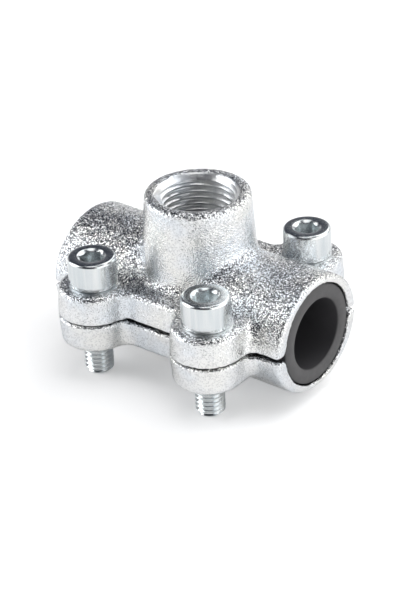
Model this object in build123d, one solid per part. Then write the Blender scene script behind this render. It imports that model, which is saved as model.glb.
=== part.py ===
from build123d import *
from math import hypot, radians, sqrt, tan
import os

# Pipe repair clamp with a threaded branch, in millimetres.
# The pipe runs along X, the branch stands along +Z, and the halves meet at the plane Z = 0.

# Rubber sleeve
pipe_bore_radius = 9.7
sleeve_wall = 3.9
sleeve_inset = 0.4
sleeve_edge = 0.3
branch_port_radius = 7.0

# Cast halves
body_length = 75.6
sleeve_clearance = 0.25
crown_wall = 2.05
flank_wall = 3.55
end_rounding = 1.1
seat_chamfer = 1.0
ear_gap = 0.3
relief_gap = 1.0
pad_margin = 0.3

# Flange and ears
screw_pitch_x = 37.8
screw_stand_off = 4.6
ear_rim = 3.5
flange_height = 8.2
flange_overhang = 0.2
flange_draft = 4.0
valley_radius = 2.6
flange_rounding = 1.3
blend_radius = 3.0

# Branch, threaded G 1/2
branch_height = 15.1
branch_wall = 3.7
branch_thread_radius = 10.478
branch_thread_height = 1.162
branch_thread_depth = 15.0
branch_draft = 3.5
branch_rounding = 1.4
branch_chamfer = 1.9

# M8 socket head screws
thread_radius = 3.95
head_radius = 6.5
head_height = 8.0
head_rounding = 0.9
head_foot_chamfer = 0.3
screw_length = 26.5
tip_chamfer = 0.9
socket_width = 6.0
socket_depth = 4.2
socket_mouth = 0.35
clearance_hole_gap = 0.35
spot_face_clearance = 0.35
thread_clearance = 0.05
hole_chamfer = 0.7
socket_turns = {"front_left": 0, "front_right": 22, "rear_right": 10, "rear_left": 40}

# Sizes that follow from these
sleeve_length = body_length - 2 * sleeve_inset
sleeve_radius = pipe_bore_radius + sleeve_wall
seat_radius = sleeve_radius + sleeve_clearance
crown_radius = seat_radius + crown_wall
flank_radius = seat_radius + flank_wall
ear_radius = head_radius + ear_rim
ear_x = screw_pitch_x / 2
ear_y = flank_radius + screw_stand_off
web_y = ear_y + flange_overhang
branch_top = crown_radius + branch_height
branch_radius = branch_thread_radius + branch_wall
branch_slope = tan(radians(branch_draft))
branch_hole_radius = branch_thread_radius - branch_thread_height
clearance_hole_radius = thread_radius + clearance_hole_gap
tapped_hole_radius = thread_radius + thread_clearance
reach = 2 * (ear_y + ear_radius)

# How near a point must lie to count as on a surface
near = 0.02


def flange_outline():
    """Plan of the flange: four round ears joined by straight webs, with a hollow beside each ear."""
    rise = web_y + valley_radius - ear_y
    run = sqrt((ear_radius + valley_radius) ** 2 - rise**2)
    share = ear_radius / (ear_radius + valley_radius)
    web_end = (ear_x - run, web_y)
    touch = (ear_x - run * share, ear_y + rise * share)
    quarter = [
        Line((ear_x + ear_radius, 0), (ear_x + ear_radius, ear_y)),
        ThreePointArc((ear_x + ear_radius, ear_y), (ear_x, ear_y + ear_radius), touch),
        RadiusArc(touch, web_end, valley_radius),
        Line(web_end, (0, web_y)),
    ]
    half = quarter + [edge.mirror(Plane.YZ) for edge in quarter]
    return make_face(half + [edge.mirror(Plane.XZ) for edge in half])


def flange():
    """Flange slab with moulder's draft on its sides and a rounded top edge."""
    slab = extrude(flange_outline(), amount=flange_height, dir=(0, 0, 1), taper=flange_draft)
    top = slab.faces().sort_by(Axis.Z)[-1]
    return fillet(top.outer_wire().edges(), flange_rounding)


def barrel():
    """Saddle over the pipe: oval, thin over its crown and thick at the joint, with rounded ends."""
    section = Plane.YZ.offset(-body_length / 2) * Ellipse(flank_radius, crown_radius)
    tube = extrude(section, amount=body_length, dir=(1, 0, 0))
    rims = tube.edges().filter_by(lambda edge: abs(abs(edge.center().X) - body_length / 2) < near)
    return fillet(rims, end_rounding)


def branch_radius_at(height):
    """Radius of the drafted branch at a height above the pipe's axis."""
    return branch_radius + branch_slope * (branch_top - height)


def branch():
    """Tapered boss of the branch, with its foot buried in the saddle."""
    foot = flange_height / 2
    foot_radius = branch_radius_at(foot)
    side = Polyline((0, foot), (foot_radius, foot), (branch_radius, branch_top), (0, branch_top), close=True)
    boss = revolve(Plane.XZ * make_face(side), Axis.Z)
    return fillet(boss.edges().sort_by(Axis.Z)[-1], branch_rounding)


def on_barrel(point):
    """True on the oval side of the barrel, clear of its ends and of the joint."""
    oval = hypot(point.Y / flank_radius, point.Z / crown_radius)
    inside_ends = abs(point.X) < body_length / 2 - end_rounding - near
    return abs(oval - 1) * crown_radius < near and inside_ends and point.Z > relief_gap / 2


def on_branch_foot(point):
    """True on the side of the branch, no higher than the crown of the barrel."""
    beside = abs(hypot(point.X, point.Y) - branch_radius_at(point.Z)) < near
    return beside and point.Z < crown_radius + near


def blended(form, in_corner):
    """The form with a round in each inside corner, known by the middle of its edge."""
    corners = [edge for edge in form.edges() if in_corner(edge.position_at(0.5))]
    return fillet(corners, blend_radius)


def ear_columns(radius, low, high):
    """One cylinder on the axis of each screw."""
    column = Pos(0, 0, (low + high) / 2) * Cylinder(radius, high - low)
    return [Pos(x, y, 0) * column for x in (-ear_x, ear_x) for y in (-ear_y, ear_y)]


def sleeve_seat():
    """Room for the sleeve, opened out by a chamfer along each edge of the joint face."""
    length = 2 * body_length
    wide = seat_radius + seat_chamfer + relief_gap / 2
    narrow = seat_radius - seat_chamfer
    flare = Polyline((-wide, 0), (wide, 0), (narrow, wide - narrow), (-narrow, wide - narrow), close=True)
    bore = Rot(0, 90, 0) * Cylinder(seat_radius, length)
    return bore + extrude(Plane.YZ.offset(-length / 2) * make_face(flare), amount=length, dir=(1, 0, 0))


def half_casting(with_branch):
    """One saddle half above the joint plane, with its joint face relieved except under the ears."""
    below = Box(2 * body_length, 2 * reach, 2 * reach, align=(Align.CENTER, Align.CENTER, Align.MAX))
    form = blended(barrel() - below + flange(), on_barrel)
    if with_branch:
        form = blended(form + branch(), on_branch_foot)
    relief = Pos(0, 0, relief_gap / 2) * below
    for pad in ear_columns(ear_radius + pad_margin, -reach, reach):
        relief -= pad
    form = form - relief - Pos(0, 0, ear_gap / 2) * below
    spot_faces = ear_columns(head_radius + spot_face_clearance, flange_height, flange_height + head_height)
    return form - sleeve_seat() - spot_faces


def hole_mouths(form, radius):
    """Circular edges of that radius, from the lowest to the highest."""
    circles = form.edges().filter_by(GeomType.CIRCLE)
    return circles.filter_by(lambda edge: abs(edge.radius - radius) < near).sort_by(Axis.Z)


def upper_half():
    """Saddle half with the threaded branch and plain holes for the screws."""
    form = half_casting(True)
    thread = Cylinder(branch_hole_radius, branch_thread_depth, align=(Align.CENTER, Align.CENTER, Align.MAX))
    form = form - Pos(0, 0, branch_top) * thread - Cylinder(branch_port_radius, 2 * branch_top)
    form = chamfer(hole_mouths(form, branch_hole_radius)[-1], branch_chamfer)
    return form - ear_columns(clearance_hole_radius, -reach, reach)


def lower_half():
    """Plain saddle half with tapped ears, turned over from the upper half's form."""
    form = half_casting(False).mirror(Plane.XY) - ear_columns(tapped_hole_radius, -reach, reach)
    return chamfer(hole_mouths(form, tapped_hole_radius), hole_chamfer)


def rubber_sleeve():
    """Liner tube with a port under the branch."""
    tube = Cylinder(sleeve_radius, sleeve_length) - Cylinder(pipe_bore_radius, sleeve_length)
    tube = Rot(0, 90, 0) * chamfer(tube.edges().filter_by(GeomType.CIRCLE), sleeve_edge)
    port = Cylinder(branch_port_radius, 2 * sleeve_radius, align=(Align.CENTER, Align.CENTER, Align.MIN))
    return tube - port


def screw(x, y, turn):
    """Socket head screw, standing with the underside of its head on the flange."""
    hanging = (Align.CENTER, Align.CENTER, Align.MAX)
    shank = Cylinder(thread_radius, screw_length, align=hanging)
    shank = chamfer(shank.edges().sort_by(Axis.Z)[0], tip_chamfer)
    head = Cylinder(head_radius, head_height, align=(Align.CENTER, Align.CENTER, Align.MIN))
    head = fillet(head.edges().sort_by(Axis.Z)[-1], head_rounding)
    head = chamfer(head.edges().sort_by(Axis.Z)[0], head_foot_chamfer)
    hexagon = Rot(0, 0, turn) * RegularPolygon(socket_width / 2, 6, major_radius=False)
    socket = extrude(Pos(0, 0, head_height - socket_depth) * hexagon, amount=socket_depth)
    mouth_radius = socket_width / sqrt(3) + socket_mouth
    mouth = Pos(0, 0, head_height) * Cone(0, mouth_radius, mouth_radius, align=hanging)
    return Pos(x, y, flange_height) * (shank + head - socket - mouth)


def parts():
    """Every piece by its name."""
    pieces = {"upper_half": upper_half(), "lower_half": lower_half(), "rubber_sleeve": rubber_sleeve()}
    for name, turn in socket_turns.items():
        x = -ear_x if name.endswith("left") else ear_x
        y = -ear_y if name.startswith("front") else ear_y
        pieces["screw_" + name] = screw(x, y, turn)
    return pieces


os.makedirs("parts", exist_ok=True)
for name, piece in parts().items():
    piece.label = name
    export_step(piece, "parts/" + name + ".step")
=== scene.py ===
from math import ceil, cos, pi, radians, sin

import bmesh
import bpy
from mathutils import Matrix, Vector


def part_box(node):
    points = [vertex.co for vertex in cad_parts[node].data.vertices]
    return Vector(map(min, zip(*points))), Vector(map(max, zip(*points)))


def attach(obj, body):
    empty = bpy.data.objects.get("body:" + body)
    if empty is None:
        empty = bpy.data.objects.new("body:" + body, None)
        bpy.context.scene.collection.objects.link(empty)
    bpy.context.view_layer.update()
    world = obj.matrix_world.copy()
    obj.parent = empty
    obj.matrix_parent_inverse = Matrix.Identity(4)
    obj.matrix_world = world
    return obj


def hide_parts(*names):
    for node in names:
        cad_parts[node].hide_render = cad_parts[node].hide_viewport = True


# Pipe repair clamp with a threaded branch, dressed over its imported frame. All sizes are in metres.

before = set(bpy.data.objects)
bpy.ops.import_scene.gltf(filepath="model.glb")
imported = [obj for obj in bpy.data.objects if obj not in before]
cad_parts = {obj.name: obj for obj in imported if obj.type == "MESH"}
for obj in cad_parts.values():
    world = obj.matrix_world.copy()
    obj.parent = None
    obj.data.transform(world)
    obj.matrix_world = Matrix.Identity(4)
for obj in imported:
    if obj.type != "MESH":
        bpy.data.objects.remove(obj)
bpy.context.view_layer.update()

MM = 0.001

# How near a point must lie to count as on a surface, and how near points are joined
near = 0.02 * MM
join_distance = 0.001 * MM
thread_join_distance = 0.004 * MM

# Screws, with the turn of each one's socket in degrees
socket_turns = {
    "screw_front_left": 0,
    "screw_front_right": 22,
    "screw_rear_left": 40,
    "screw_rear_right": 10,
}
screws = list(socket_turns)
head_radius = 6.5 * MM
head_height = 8.0 * MM
head_rounding = 0.9 * MM
head_rounding_steps = 6
head_foot_chamfer = 0.3 * MM
head_segments = 96
socket_width = 6.0 * MM
socket_depth = 4.2 * MM
socket_mouth_radius = 3.81 * MM
socket_rim = 0.12 * MM
socket_rim_drop = 0.03 * MM
socket_floor_share = 0.86
socket_point_depth = 0.9 * MM
screw_pitch = 1.25 * MM
screw_crest = 3.95 * MM
screw_root = 3.2 * MM
screw_thread_steps = 40
shank_overlap = 0.4 * MM
tip_radius = 3.05 * MM

# Half a turn of thread from root to crest, as shares of its pitch and of its depth
thread_flank = [(0.0, 0.0), (0.06, 0.02), (0.11, 0.09), (0.39, 0.91), (0.44, 0.98), (0.5, 1.0)]

# Places taken from the frame
flange_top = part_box(screws[0])[1].z - head_height
screw_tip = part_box(screws[0])[0].z
branch_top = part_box("upper_half")[1].z
screw_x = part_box("screw_rear_right")[1].x - head_radius
screw_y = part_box("screw_rear_right")[1].y - head_radius
sleeve_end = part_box("rubber_sleeve")[1].x

# Branch
branch_pitch = 1.814 * MM
branch_crest = 9.35 * MM
branch_root = 10.478 * MM
branch_thread_depth = 15.0 * MM
branch_thread_foot = 0.3 * MM
branch_thread_top = 1 * MM
branch_thread_overlap = 0.08 * MM
branch_thread_steps = 96
branch_mouth_radius = 11.25 * MM
branch_segments = 128
branch_cutter_margin = 2 * MM

# Seats of the screw heads
seat_margin = 0.4 * MM
seat_depth = 0.06 * MM
seat_segments = 64

# Cast skin
skin_grid = 0.45 * MM
skin_depth = 0.12 * MM
skin_grain = 1.6 * MM

# Angles in degrees past which an edge stays crisp
screw_edge_angle = 32
upper_edge_angle = 40
lower_edge_angle = 50
sleeve_edge_angle = 35

# Zinc on the castings, with its patterns counted to the metre
cast_grain = 2900.0
cast_hollows = 2500.0
cast_lumps = 450.0
cast_clouds = 90.0
cast_pits = 0.72
cast_facet = 0.48
cast_relief = 0.14 * MM
cast_smoothest = 0.12
cast_roughest = 0.20
machined_pits = 0.1
machined_relief = 0.04 * MM
machined_roughness = 0.29
cool_zinc = (0.84, 0.875, 0.91, 1)
plain_zinc = (0.91, 0.92, 0.925, 1)
warm_zinc = (0.93, 0.93, 0.905, 1)
# Dark of the pits: partly unplated zinc, partly painted shade in the hollows
pit_shade_colour = (0.13, 0.135, 0.15, 1)

# Zinc on the screws
drawn_streaks = 700.0
drawn_stretch = (1.0, 1.0, 0.06)
drawn_relief = 0.03 * MM
drawn_roughness = 0.22
drawn_dark_zinc = (0.68, 0.73, 0.75, 1)
drawn_pale_zinc = (0.86, 0.88, 0.88, 1)

# Rubber
rubber_bloom = 600.0
rubber_relief = 0.03 * MM
rubber_roughness = 0.62
cut_end_start = 0.5 * MM
cut_end_full = 0.1 * MM
# Near black in the bore: painted shade inside the sleeve, darker than the same rubber on its ends
bore_painted_shade = (0.018, 0.017, 0.020, 1)
cut_end_dark = (0.068, 0.067, 0.068, 1)
cut_end_pale = (0.105, 0.103, 0.104, 1)

# Floor and studio
white = (1, 1, 1, 1)
floor_colour = (0.92, 0.92, 0.92, 1)
floor_roughness = 0.9
floor_seen_near = 0.27
floor_seen_far = 1.0
floor_mirrored_near = 0.03
floor_mirrored_far = 0.5
floor_radius = 8.0
floor_segments = 64
shadow_reach = 0.35
room_low = (0.90, 0.90, 0.90, 1)
room_middle = (0.20, 0.20, 0.22, 1)
room_high = (0.03, 0.035, 0.05, 1)
room_front = (0.34, -0.94, 0)

# Lamps: azimuth and elevation in degrees, distance, width and depth, and power
lamps = {
    "lamp_right": (102, 27, 1.2, (1.9, 1.2), 9.6),
    "lamp_left": (303, 27, 1.2, (1.0, 1.2), 8.2),
    "lamp_behind": (172, 44, 1.3, (1.3, 1.1), 7.2),
    "lamp_above": (39, 87, 1.2, (0.6, 0.6), 1.5),
}
floor_lamp = (125, 76, 1.5, (1.3, 1.3), 7.3)

# Camera, as found from the photograph
view_azimuth = radians(39.42)
view_elevation = radians(29.96)
view_roll = radians(-2.85)
view_distance = 568 * MM
view_right = -0.54 * MM
view_up = -2.11 * MM
view_rise = 0.4 * MM
focal_pixels = 2124
picture_height = 601
film_width = 36
nearest_seen = 0.01


def placed(name, data):
    """A new object in the scene, at the origin."""
    made = bpy.data.objects.new(name, data)
    bpy.context.scene.collection.objects.link(made)
    return made


def piece(name, mesh, body, slot, *materials):
    """A finished object in the row frame, riding on its body."""
    made = placed(name, mesh)
    mesh.materials.clear()
    for material in materials:
        mesh.materials.append(material)
    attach(made, body)
    return made


def helper(name, bm):
    """An object that only serves to shape another, such as a thread to be cut."""
    mesh = bpy.data.meshes.new(name)
    bm.to_mesh(mesh)
    bm.free()
    return placed(name, mesh)


def finished_mesh(source):
    """The mesh of an object with its modifiers applied. The object is removed."""
    graph = bpy.context.evaluated_depsgraph_get()
    mesh = bpy.data.meshes.new_from_object(source.evaluated_get(graph), depsgraph=graph)
    bpy.data.objects.remove(source)
    return mesh


def combine(target, tool, operation):
    """Joins one helper with another or cuts it, and gives the helper that is left."""
    cut = target.modifiers.new(operation.lower(), "BOOLEAN")
    cut.operation = operation
    cut.object = tool
    cut.solver = "MANIFOLD"
    name = target.name
    mesh = finished_mesh(target)
    bpy.data.objects.remove(tool)
    return placed(name, mesh)


def merged_copy(node):
    """A copy of a node's mesh with its loose triangles joined."""
    bm = bmesh.new()
    bm.from_mesh(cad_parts[node].data)
    bmesh.ops.remove_doubles(bm, verts=bm.verts[:], dist=join_distance)
    return bm


def sharp_at(mesh, degrees):
    """Smooth shading, broken where faces meet at more than an angle."""
    mesh.shade_smooth()
    mesh.set_sharp_from_angle(angle=radians(degrees))


def lathe(bm, profile, segments):
    """Turns a profile of (radius, height) round the Z axis."""
    points = [bm.verts.new((radius, 0, height)) for radius, height in profile]
    edges = [bm.edges.new(pair) for pair in zip(points, points[1:])]
    turn = {"axis": (0, 0, 1), "cent": (0, 0, 0), "angle": 2 * pi, "steps": segments, "use_merge": True}
    bmesh.ops.spin(bm, geom=points + edges, **turn)
    bmesh.ops.remove_doubles(bm, verts=bm.verts[:], dist=join_distance)


def turned_cutter(name, profile, segments, x, y):
    """A turned helper on an upright axis, for cutting."""
    bm = bmesh.new()
    lathe(bm, profile, segments)
    bmesh.ops.translate(bm, verts=bm.verts[:], vec=(x, y, 0))
    bmesh.ops.recalc_face_normals(bm, faces=bm.faces[:])
    return helper(name, bm)


def threaded_rod(name, crest, root, pitch, low, high, steps):
    """A rod with a right-hand thread of rounded crests and roots between two heights."""
    depth = crest - root
    turns = ceil((high - low) / pitch) + 2
    start = low - pitch
    bm = bmesh.new()
    points = []
    for share, rise in thread_flank + [(1 - share, rise) for share, rise in thread_flank[-2::-1]]:
        points.append(bm.verts.new((root + depth * rise, 0, start + share * pitch)))
    edges = [bm.edges.new(pair) for pair in zip(points, points[1:])]
    bmesh.ops.spin(
        bm,
        geom=points + edges,
        axis=(0, 0, 1),
        cent=(0, 0, 0),
        dvec=(0, 0, pitch / steps),
        angle=2 * pi * turns,
        steps=steps * turns,
    )
    bmesh.ops.remove_doubles(bm, verts=bm.verts[:], dist=thread_join_distance)
    for height, outward in ((low, -1), (high, 1)):
        everything = bm.verts[:] + bm.edges[:] + bm.faces[:]
        plane = {"plane_co": (0, 0, height), "plane_no": (0, 0, outward)}
        bmesh.ops.bisect_plane(bm, geom=everything, clear_outer=True, **plane)
        open_edges = [edge for edge in bm.edges if edge.is_boundary]
        rim = [edge for edge in open_edges if abs(edge.verts[0].co.z - height) < join_distance]
        bmesh.ops.contextual_create(bm, geom=rim)
    bmesh.ops.recalc_face_normals(bm, faces=bm.faces[:])
    return helper(name, bm)


def point_the_tip(rod, tip):
    """Chamfers the lower end of a threaded rod by holding its points inside a cone."""
    for point in rod.data.vertices:
        limit = tip_radius + (point.co.z - tip)
        reach = point.co.xy.length
        if reach > limit:
            point.co.x *= limit / reach
            point.co.y *= limit / reach


def head_profile():
    """Half section of the head, from its axis round to the rim of the socket's mouth."""
    centre_radius = head_radius - head_rounding
    centre_height = head_height - head_rounding
    profile = [(0, 0), (head_radius - head_foot_chamfer, 0), (head_radius, head_foot_chamfer)]
    for step in range(head_rounding_steps + 1):
        turn = radians(90 * step / head_rounding_steps)
        side = centre_radius + head_rounding * cos(turn)
        profile.append((side, centre_height + head_rounding * sin(turn)))
    profile.append((socket_mouth_radius + socket_rim, head_height))
    profile.append((socket_mouth_radius, head_height - socket_rim_drop))
    return profile


def socket_reach(point):
    """How far the hexagon's wall lies from the axis, in the direction of a point."""
    angle = point.co.xy.angle_signed(Vector((1, 0)))
    return socket_width / 2 / cos((angle + pi / 6) % (pi / 3) - pi / 6)


def screw_head():
    """Cylinder head with a rounded top edge and a countersunk hexagon socket."""
    bm = bmesh.new()
    lathe(bm, head_profile(), head_segments)
    mouth = [edge for edge in bm.edges if edge.is_boundary]
    for stage in ("cone", "wall", "floor"):
        grown = bmesh.ops.extrude_edge_only(bm, edges=mouth)["geom"]
        mouth = [item for item in grown if isinstance(item, bmesh.types.BMEdge)]
        for point in {corner for edge in mouth for corner in edge.verts}:
            reach = socket_reach(point)
            if stage == "floor":
                reach *= socket_floor_share
            point.co.xy = point.co.xy.normalized() * reach
            depth = socket_mouth_radius - reach if stage == "cone" else socket_depth
            point.co.z = head_height - depth
        mouth = [edge for edge in mouth if edge.is_boundary]
    for item in bmesh.ops.extrude_edge_only(bm, edges=mouth)["geom"]:
        if isinstance(item, bmesh.types.BMVert):
            item.co = Vector((0, 0, head_height - socket_depth - socket_point_depth))
    bmesh.ops.remove_doubles(bm, verts=bm.verts[:], dist=join_distance)
    bmesh.ops.recalc_face_normals(bm, faces=bm.faces[:])
    return helper("head", bm)


def screw_mesh():
    """Socket head screw on the Z axis with the underside of its head at height zero."""
    tip = screw_tip - flange_top
    rod = threaded_rod("rod", screw_crest, screw_root, screw_pitch, tip, shank_overlap, screw_thread_steps)
    point_the_tip(rod, tip)
    return finished_mesh(combine(screw_head(), rod, "UNION"))


def screw_axis(name):
    """Where a screw stands on the flange."""
    low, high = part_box(name)
    return (low.x + high.x) / 2, (low.y + high.y) / 2


def seat_screws(finish):
    """The four screws, each with its own turn of the socket."""
    pattern = screw_mesh()
    for name in screws:
        mesh = pattern.copy()
        turn = Matrix.Rotation(radians(socket_turns[name]), 4, "Z")
        mesh.transform(Matrix.Translation((*screw_axis(name), flange_top)) @ turn)
        sharp_at(mesh, screw_edge_angle)
        made = piece(name + "_threaded", mesh, name, "zinc_screw", finish)
        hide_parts(name)
    bpy.data.meshes.remove(pattern)


def cast_form(node):
    """The node's form with the soft edges and the uneven skin of a sand casting."""
    form = helper(node + "_form", merged_copy(node))
    grid = form.modifiers.new("grid", "REMESH")
    grid.mode = "VOXEL"
    grid.voxel_size = skin_grid
    smooth = form.modifiers.new("smooth", "SMOOTH")
    smooth.factor = 0.5
    smooth.iterations = 4
    lumps = bpy.data.textures.new("cast_lumps", "CLOUDS")
    lumps.noise_scale = skin_grain
    lumps.noise_depth = 2
    skin = form.modifiers.new("skin", "DISPLACE")
    skin.texture = lumps
    skin.texture_coords = "LOCAL"
    skin.strength = skin_depth
    skin.mid_level = 1.0
    return placed(node + "_skin", finished_mesh(form))


def counterbore():
    """Cutter that trues the bore and the mouth of the branch."""
    floor = branch_top - branch_thread_depth
    mouth_foot = branch_top - (branch_mouth_radius - branch_crest)
    above = branch_top + branch_cutter_margin
    profile = [
        (0, floor),
        (branch_crest, floor),
        (branch_crest, mouth_foot),
        (branch_mouth_radius, branch_top),
        (branch_mouth_radius + branch_cutter_margin, above),
        (0, above),
    ]
    return turned_cutter("counterbore", profile, branch_segments, 0, 0)


def branch_tap():
    """Cutter for the thread of the branch, open at its top."""
    low = branch_top - branch_thread_depth + branch_thread_foot
    high = branch_top + branch_thread_top
    inner = branch_crest - branch_thread_overlap
    return threaded_rod("tap", branch_root, inner, branch_pitch, low, high, branch_thread_steps)


def spot_face(x, y):
    """Cutter that trues the seat of a screw head."""
    radius = head_radius + seat_margin
    low = flange_top - seat_depth
    high = flange_top + head_height
    profile = [(0, low), (radius, low), (radius, high), (0, high)]
    return turned_cutter("spot_face", profile, seat_segments, x, y)


def on_upper_cut(face):
    """True on the thread and mouth of the branch and on the seats of the heads."""
    centre = face.center
    above_floor = centre.z > branch_top - branch_thread_depth - near
    in_branch = centre.xy.length < branch_mouth_radius and above_floor
    from_screw = Vector((abs(centre.x) - screw_x, abs(centre.y) - screw_y)).length
    beside_head = flange_top - seat_depth - near < centre.z < flange_top + head_height
    return in_branch or (from_screw < head_radius + seat_margin + near / 2 and beside_head)


def upper_half(cast, machined):
    """Upper casting with its tapped branch and the seats of the screw heads."""
    form = combine(cast_form("upper_half"), counterbore(), "DIFFERENCE")
    form = combine(form, branch_tap(), "DIFFERENCE")
    for name in screws:
        form = combine(form, spot_face(*screw_axis(name)), "DIFFERENCE")
    mesh = finished_mesh(form)
    sharp_at(mesh, upper_edge_angle)
    made = piece("upper_half_cast", mesh, "upper", "zinc_casting", cast, machined)
    for face in mesh.polygons:
        face.material_index = int(on_upper_cut(face))
    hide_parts("upper_half")


def lower_half(cast):
    """Lower casting."""
    mesh = finished_mesh(cast_form("lower_half"))
    sharp_at(mesh, lower_edge_angle)
    made = piece("lower_half_cast", mesh, "lower", "zinc_casting", cast)
    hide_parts("lower_half")


def sleeve(rubber):
    """Rubber sleeve, smooth but for its edges."""
    bm = merged_copy("rubber_sleeve")
    mesh = bpy.data.meshes.new("sleeve")
    bm.to_mesh(mesh)
    bm.free()
    sharp_at(mesh, sleeve_edge_angle)
    made = piece("rubber_sleeve_moulded", mesh, "upper", "rubber", rubber)
    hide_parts("rubber_sleeve")


class Nodes:
    """Adds and links the nodes of one material, group or world."""

    def __init__(self, tree):
        self.tree = tree

    def add(self, kind, **values):
        """A node. A name with a leading underscore is its own setting, any other a socket's value."""
        node = self.tree.nodes.new("ShaderNode" + kind)
        for name, value in values.items():
            if name.startswith("_"):
                setattr(node, name[1:], value)
            else:
                node.inputs[name.replace("_", " ")].default_value = value
        return node

    def feed(self, socket, source):
        """Gives a socket an output, or a plain value."""
        if isinstance(source, bpy.types.NodeSocket):
            self.tree.links.new(source, socket)
        else:
            socket.default_value = source

    def math(self, operation, *sources, clamp=False):
        """Arithmetic on outputs and plain values."""
        node = self.add("Math", _operation=operation, _use_clamp=clamp)
        for socket, source in zip(node.inputs, sources):
            self.feed(socket, source)
        return node.outputs[0]

    def axis(self, vector, letter):
        """One axis of a vector or channel of a colour."""
        node = self.add("SeparateXYZ")
        self.feed(node.inputs[0], vector)
        return node.outputs[letter]

    def spread(self, source, **limits):
        """One range of values brought to another, 0 to 1 if it isn't given."""
        node = self.add("MapRange", **limits)
        self.feed(node.inputs["Value"], source)
        return node.outputs["Result"]

    def pattern(self, kind, place, **values):
        """A pattern laid on coordinates."""
        node = self.add(kind, **values)
        self.feed(node.inputs["Vector"], place)
        return node

    def ramp(self, source, *stops):
        """Colours at their places along a range."""
        node = self.add("ValToRGB")
        elements = node.color_ramp.elements
        for position, _ in stops[1:-1]:
            elements.new(position)
        for element, (position, colour) in zip(elements, stops):
            element.position = position
            element.color = colour
        self.feed(node.inputs["Fac"], source)
        return node.outputs["Color"]

    def mix(self, share, under, over):
        """One colour laid over another."""
        node = self.add("Mix", _data_type="RGBA")
        for index, source in ((0, share), (6, under), (7, over)):
            self.feed(node.inputs[index], source)
        return node.outputs[2]

    def bump(self, height, **values):
        """A relief from a height."""
        node = self.add("Bump", **values)
        self.feed(node.inputs["Height"], height)
        return node


def grain_group():
    """Zinc on cast iron: fine bright grains with dark pits between them, darkened partly as unplated pits
    and partly as painted shade, on gentle clouds of tint.
    """
    group = bpy.data.node_groups.new("zinc_grain", "ShaderNodeTree")
    for name, value in (("Grain", cast_grain), ("Pits", cast_pits), ("Facet", cast_facet)):
        socket = group.interface.new_socket(name, in_out="INPUT", socket_type="NodeSocketFloat")
        socket.default_value = value
    outputs = {"Color": "Color", "Roughness": "Float", "Height": "Float", "Normal": "Vector"}
    for name, kind in outputs.items():
        group.interface.new_socket(name, in_out="OUTPUT", socket_type="NodeSocket" + kind)
    n = Nodes(group)
    given = group.nodes.new("NodeGroupInput").outputs
    out = group.nodes.new("NodeGroupOutput").inputs
    coordinates = n.add("TexCoord").outputs
    place = coordinates["Object"]
    coarse = n.pattern("TexNoise", place, Scale=cast_lumps, Detail=0.0).outputs["Fac"]

    # Faces that look up get the most grain tilt, as they came from the mould, and the most dark pits, which
    # darken them as painted shade
    up = n.axis(coordinates["Normal"], "Z")
    top_roughness_and_shade = n.spread(up, From_Min=0.1, From_Max=0.6, To_Min=0.34, To_Max=1.25)

    # Some of the hollows between grains are dark: partly unplated pits, partly painted shade in the hollows
    holes = n.pattern("TexVoronoi", place, Scale=cast_hollows).outputs
    hollow = n.spread(holes["Distance"], From_Min=0.62, From_Max=0.42)
    shaded_cell = n.spread(n.axis(holes["Color"], "X"), From_Min=0.35, From_Max=0.55)
    pit_shade_share = n.math("MULTIPLY", given["Pits"], top_roughness_and_shade)
    pit_shade = n.math("MULTIPLY", n.math("MULTIPLY", hollow, shaded_cell), pit_shade_share)

    clouds = n.pattern("TexNoise", place, Scale=cast_clouds, Detail=3.0).outputs["Fac"]
    tint = n.ramp(clouds, (0.36, cool_zinc), (0.5, plain_zinc), (0.64, warm_zinc))
    # Painted shade: the dark pits laid over the tint
    n.feed(out["Color"], n.mix(pit_shade, tint, pit_shade_colour))
    rough = n.spread(coarse, From_Min=0.3, From_Max=0.7, To_Min=cast_smoothest, To_Max=cast_roughest)
    n.feed(out["Roughness"], rough)

    grains = n.pattern("TexNoise", place, Detail=0.3)
    n.feed(grains.inputs["Scale"], given["Grain"])
    n.feed(out["Height"], n.math("MULTIPLY_ADD", coarse, 0.5, grains.outputs["Fac"]))

    # Each grain tilts its own way
    crystals = n.pattern("TexVoronoi", place)
    n.feed(crystals.inputs["Scale"], given["Grain"])
    centred = n.add("VectorMath", _operation="SUBTRACT")
    n.feed(centred.inputs[0], crystals.outputs["Color"])
    n.feed(centred.inputs[1], (0.5, 0.5, 0.5))
    tilt = n.add("VectorMath", _operation="SCALE")
    n.feed(tilt.inputs[0], centred.outputs["Vector"])
    n.feed(tilt.inputs["Scale"], n.math("MULTIPLY", given["Facet"], top_roughness_and_shade))
    tilted = n.add("VectorMath", _operation="ADD")
    n.feed(tilted.inputs[0], n.add("NewGeometry").outputs["Normal"])
    n.feed(tilted.inputs[1], tilt.outputs["Vector"])
    unit = n.add("VectorMath", _operation="NORMALIZE")
    n.feed(unit.inputs[0], tilted.outputs["Vector"])
    n.feed(out["Normal"], unit.outputs["Vector"])
    return group


def new_material(name):
    """A material, its nodes and the sockets of its shader."""
    material = bpy.data.materials.new(name)
    material.use_nodes = True
    return material, Nodes(material.node_tree), material.node_tree.nodes["Principled BSDF"].inputs


def cast_zinc(group):
    """As-cast skin of the halves under bright zinc."""
    material, n, shader = new_material("zinc_cast_skin")
    grain = n.add("Group", _node_tree=group).outputs
    relief = n.bump(grain["Height"], Strength=1.0, Distance=cast_relief)
    n.feed(relief.inputs["Normal"], grain["Normal"])
    n.feed(shader["Base Color"], grain["Color"])
    n.feed(shader["Metallic"], 1.0)
    n.feed(shader["Roughness"], grain["Roughness"])
    n.feed(shader["Normal"], relief.outputs["Normal"])
    return material


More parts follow.
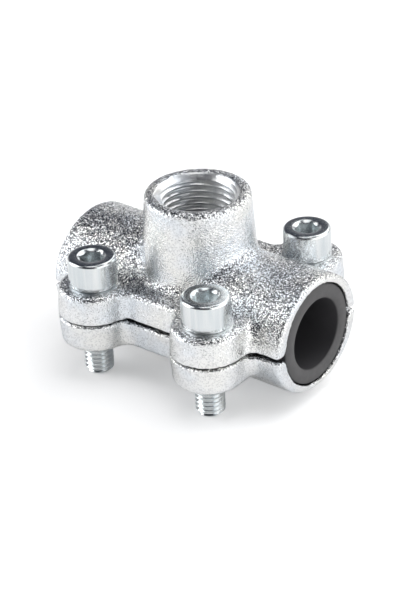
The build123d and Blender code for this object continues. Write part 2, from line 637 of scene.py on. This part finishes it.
def machined_zinc(group):
    """Cut faces under zinc: smoother than the cast skin, with few pits."""
    material, n, shader = new_material("zinc_machined")
    grain = n.add("Group", _node_tree=group, Pits=machined_pits).outputs
    relief = n.bump(grain["Height"], Strength=1.0, Distance=machined_relief)
    n.feed(shader["Base Color"], grain["Color"])
    n.feed(shader["Metallic"], 1.0)
    n.feed(shader["Roughness"], machined_roughness)
    n.feed(shader["Normal"], relief.outputs["Normal"])
    return material


def screw_zinc():
    """Bright zinc on turned steel, with faint streaks along the screw."""
    material, n, shader = new_material("zinc_screw_plate")
    streaks = n.pattern("Mapping", n.add("TexCoord").outputs["Object"], Scale=drawn_stretch)
    drawn = n.pattern("TexNoise", streaks.outputs["Vector"], Scale=drawn_streaks, Detail=3.0).outputs["Fac"]
    relief = n.bump(drawn, Strength=0.5, Distance=drawn_relief)
    n.feed(shader["Base Color"], n.ramp(drawn, (0.3, drawn_dark_zinc), (0.7, drawn_pale_zinc)))
    n.feed(shader["Metallic"], 1.0)
    n.feed(shader["Roughness"], drawn_roughness)
    n.feed(shader["Normal"], relief.outputs["Normal"])
    return material


def black_rubber():
    """Moulded rubber, dull, with a faint bloom, greyer on its cut ends and near black in its bore, where
    the black is painted shade.
    """
    material, n, shader = new_material("rubber_moulded")
    place = n.add("TexCoord").outputs["Object"]
    bloom = n.pattern("TexNoise", place, Scale=rubber_bloom, Detail=4.0).outputs["Fac"]
    along = n.math("ABSOLUTE", n.axis(place, "X"))
    cut_end = n.spread(along, From_Min=sleeve_end - cut_end_start, From_Max=sleeve_end - cut_end_full)
    tint = n.ramp(bloom, (0.0, cut_end_dark), (1.0, cut_end_pale))
    relief = n.bump(bloom, Strength=0.4, Distance=rubber_relief)
    # The bore away from the cut ends is painted near black as shade
    n.feed(shader["Base Color"], n.mix(cut_end, bore_painted_shade, tint))
    n.feed(shader["Roughness"], rubber_roughness)
    n.feed(shader["Normal"], relief.outputs["Normal"])
    return material


def white_floor():
    """Pale round floor under the screw tips, white far out. It keeps the clamp's shadow."""
    bm = bmesh.new()
    bmesh.ops.create_circle(bm, cap_ends=True, radius=floor_radius, segments=floor_segments)
    bmesh.ops.translate(bm, verts=bm.verts[:], vec=(0, 0, screw_tip - near))
    floor = helper("floor", bm)
    material, n, shader = new_material("floor_white")
    rays = n.add("LightPath").outputs
    outward = n.add("VectorMath", _operation="LENGTH")
    n.feed(outward.inputs[0], n.add("TexCoord").outputs["Object"])
    far_out = n.spread(outward.outputs["Value"], From_Min=shadow_reach, From_Max=4 * shadow_reach)
    camera_glow = n.spread(far_out, To_Min=floor_seen_near, To_Max=floor_seen_far)
    mirror_glow = n.spread(far_out, To_Min=floor_mirrored_near, To_Max=floor_mirrored_far)
    seen = n.math("MULTIPLY", rays["Is Camera Ray"], camera_glow)
    mirrored = n.math("ADD", rays["Is Glossy Ray"], rays["Is Transmission Ray"])
    n.feed(shader["Base Color"], floor_colour)
    n.feed(shader["Roughness"], floor_roughness)
    n.feed(shader["Specular IOR Level"], 0.0)
    n.feed(shader["Emission Color"], white)
    n.feed(shader["Emission Strength"], n.math("MULTIPLY_ADD", mirrored, mirror_glow, seen))
    floor.data.materials.append(material)


def soft_lamp(name, azimuth, elevation, distance, size, power):
    """Soft lamp that faces the clamp. Azimuth 0 stands in front, at -Y."""
    data = bpy.data.lights.new(name, "AREA")
    data.shape = "RECTANGLE"
    data.size, data.size_y = size
    data.energy = power
    lamp = placed(name, data)
    around = radians(azimuth)
    rise = radians(elevation)
    lamp.location = Vector((sin(around) * cos(rise), -cos(around) * cos(rise), sin(rise))) * distance
    lamp.rotation_euler = lamp.location.to_track_quat("Z", "Y").to_euler()
    return lamp


def studio():
    """Grey room, white at the floor and dark above, with a soft lamp on each side but the front."""
    world = bpy.data.worlds.new("studio")
    bpy.context.scene.world = world
    world.use_nodes = True
    n = Nodes(world.node_tree)
    direction = n.add("TexCoord").outputs["Generated"]
    height = n.axis(direction, "Z")
    walls = n.ramp(height, (0.0, room_low), (0.28, room_middle), (0.50, room_high))

    # The room is darker behind the camera
    front = n.add("VectorMath", _operation="DOT_PRODUCT")
    n.feed(front.inputs[0], direction)
    n.feed(front.inputs[1], room_front)
    room = n.add("VectorMath", _operation="SCALE")
    n.feed(room.inputs[0], walls)
    shade = n.spread(front.outputs["Value"], From_Min=0.2, From_Max=0.9, To_Min=1.0, To_Max=0.35)
    n.feed(room.inputs["Scale"], shade)

    # White from the floor's edge up to a little above it, for the eye and for mirrors only
    rays = n.add("LightPath").outputs
    direct = n.math("ADD", rays["Is Camera Ray"], rays["Is Glossy Ray"])
    seen = n.math("ADD", direct, rays["Is Transmission Ray"], clamp=True)
    horizon = n.math("MULTIPLY", n.spread(height, From_Min=0.12, From_Max=0.05), seen)
    backdrop = n.mix(horizon, room.outputs["Vector"], white)
    n.feed(world.node_tree.nodes["Background"].inputs["Color"], backdrop)

    for name, lamp in lamps.items():
        soft_lamp(name, *lamp)
    soft_lamp("lamp_floor", *floor_lamp).visible_glossy = False


def camera():
    """Camera at the place from which the photograph was taken."""
    level = cos(view_elevation)
    back = Vector((sin(view_azimuth) * level, -cos(view_azimuth) * level, sin(view_elevation)))
    right = Vector((cos(view_azimuth), sin(view_azimuth), 0))
    up = back.cross(right)
    rolled_right = cos(view_roll) * right + sin(view_roll) * up
    rolled_up = -sin(view_roll) * right + cos(view_roll) * up
    data = bpy.data.cameras.new("camera")
    data.sensor_width = film_width
    data.sensor_fit = "AUTO"
    data.lens = focal_pixels / picture_height * film_width
    data.clip_start = nearest_seen
    made = placed("camera", data)
    turn = Matrix((rolled_right, rolled_up, back)).transposed()
    place = back * view_distance + rolled_right * view_right + rolled_up * view_up
    place += Vector((0, 0, view_rise))
    made.matrix_world = Matrix.Translation(place) @ turn.to_4x4()
    bpy.context.scene.camera = made


camera()
studio()
white_floor()
zinc_grain = grain_group()
cast = cast_zinc(zinc_grain)
machined = machined_zinc(zinc_grain)
upper_half(cast, machined)
lower_half(cast)
seat_screws(screw_zinc())
sleeve(black_rubber())

bpy.context.scene.view_settings.view_transform = "Standard"
